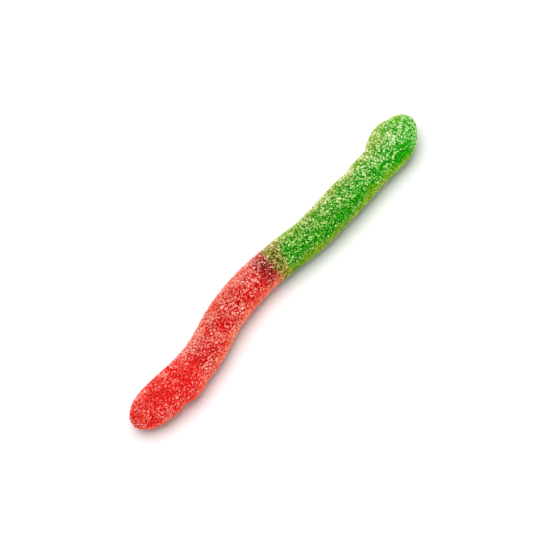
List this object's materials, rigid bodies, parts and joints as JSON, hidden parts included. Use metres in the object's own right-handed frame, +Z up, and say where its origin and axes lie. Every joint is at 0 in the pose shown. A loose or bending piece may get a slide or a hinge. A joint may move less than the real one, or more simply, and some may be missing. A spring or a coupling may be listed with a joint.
{
  "type": "gummy worm",
  "caption": "Soft jelly sweet shaped like a gently bent worm, green from its bulbous head to the middle and red to its tail, with a coat of sugar grains.",
  "frame": {"origin": "on the surface that the worm lies on, under the middle of the box round it", "axes": "+X from the red tail to the green head along the worm, +Y across it to the left of the way that it faces, +Z up from the flat underside"},
  "size_m": [0.1044, 0.013, 0.0087],
  "materials": {
    "sugared_jelly": "see-through jelly, lime green to the head and cherry red to the tail, under a coat of clear white sugar grains"
  },
  "bodies": {
    "root": {"worm": "sugared_jelly"}
  },
  "joints": []
}
